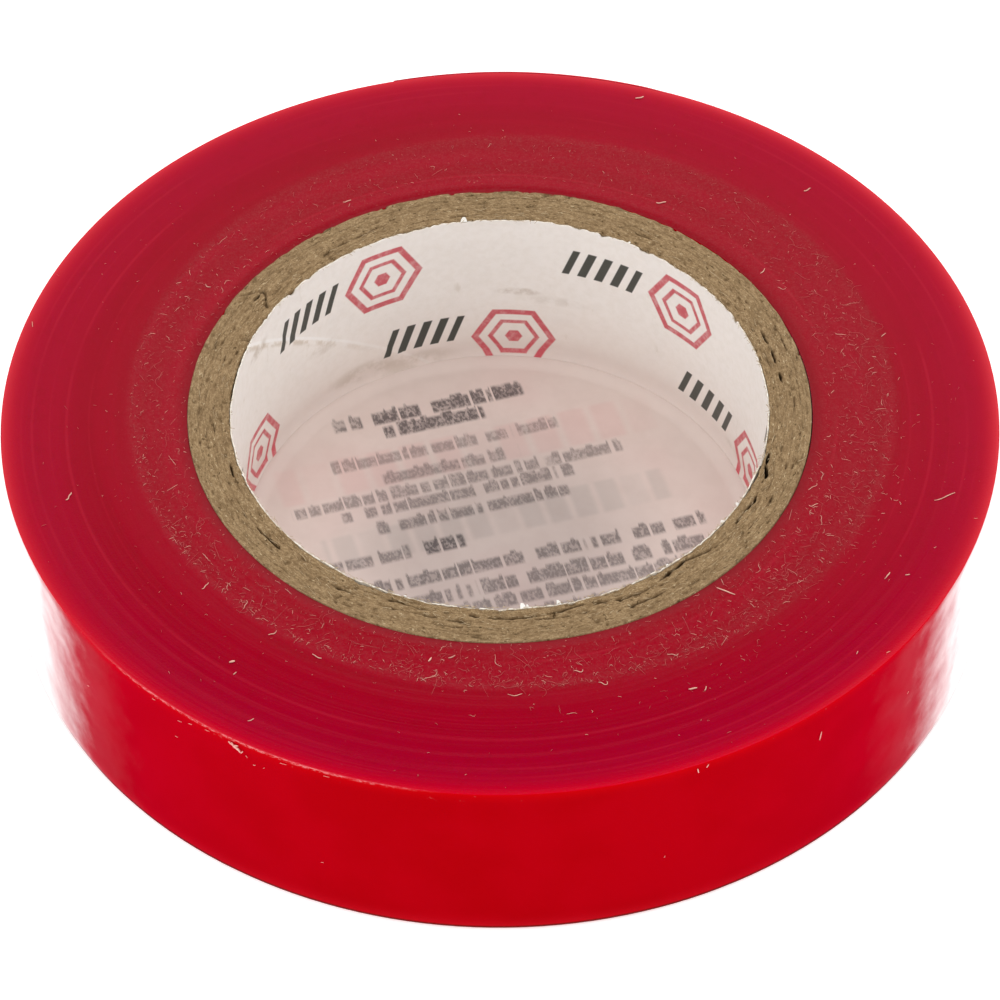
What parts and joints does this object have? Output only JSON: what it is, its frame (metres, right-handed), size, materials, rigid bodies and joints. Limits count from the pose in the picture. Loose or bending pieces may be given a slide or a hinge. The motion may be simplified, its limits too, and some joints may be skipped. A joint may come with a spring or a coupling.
{
  "type": "electrical tape roll",
  "caption": "Roll of adhesive insulating tape wound on a paperboard core, with a paper-lined bore, a round label closing one face and a free end that peels back.",
  "frame": {"origin": "on the roll's axis at the underside of the label, the face the roll rests on", "axes": "+Z along the roll's axis, out of the open mouth of the bore; the tape winds outwards anticlockwise seen from +Z, and its free end lifts off 72 degrees from +X towards +Y"},
  "size_m": [0.0739, 0.0739, 0.0151],
  "materials": {
    "tape_film": "gloss",
    "tape_adhesive": "satin",
    "chipboard": "matte",
    "liner_paper": "satin",
    "label_paper": "matte",
    "label_glue": "satin"
  },
  "bodies": {
    "roll": {"label_disc": "label_paper", "label_adhesive": "label_glue", "core_liner": "liner_paper", "core_ply_1": "chipboard", "core_ply_2": "chipboard", "core_ply_3": "chipboard", "core_ply_4": "chipboard", "core_ply_5": "chipboard", "tape_winding": "tape_film", "tape_outer_turn": "tape_film"},
    "end_1": {"end_film_1": "tape_film", "end_adhesive_1": "tape_adhesive"},
    "end_2": {"end_film_2": "tape_film", "end_adhesive_2": "tape_adhesive"},
    "end_3": {"end_film_3": "tape_film", "end_adhesive_3": "tape_adhesive"},
    "end_4": {"end_film_4": "tape_film", "end_adhesive_4": "tape_adhesive"},
    "end_5": {"end_film_5": "tape_film", "end_adhesive_5": "tape_adhesive"}
  },
  "joints": [
    {"name": "end_peel", "type": "hinge", "parent": "roll", "child": "end_1", "pos_m": [0.01144, 0.03522, 0.00762], "axis": [0, 0, -1], "range_deg": [0, 60]},
    {"name": "end_curl_2", "type": "hinge", "parent": "end_1", "child": "end_2", "pos_m": [0.00758, 0.03625, 0.00762], "axis": [0, 0, -1], "range_deg": [0, 24]},
    {"name": "end_curl_3", "type": "hinge", "parent": "end_2", "child": "end_3", "pos_m": [0.00363, 0.03685, 0.00762], "axis": [0, 0, -1], "range_deg": [0, 24]},
    {"name": "end_curl_4", "type": "hinge", "parent": "end_3", "child": "end_4", "pos_m": [-0.00037, 0.03703, 0.00762], "axis": [0, 0, -1], "range_deg": [0, 24]},
    {"name": "end_curl_5", "type": "hinge", "parent": "end_4", "child": "end_5", "pos_m": [-0.00436, 0.03678, 0.00762], "axis": [0, 0, -1], "range_deg": [0, 24]}
  ],
  "couplings": [
    {"joint": "end_curl_2", "follows": "end_peel", "ratio": 0.4},
    {"joint": "end_curl_3", "follows": "end_peel", "ratio": 0.4},
    {"joint": "end_curl_4", "follows": "end_peel", "ratio": 0.4},
    {"joint": "end_curl_5", "follows": "end_peel", "ratio": 0.4}
  ]
}
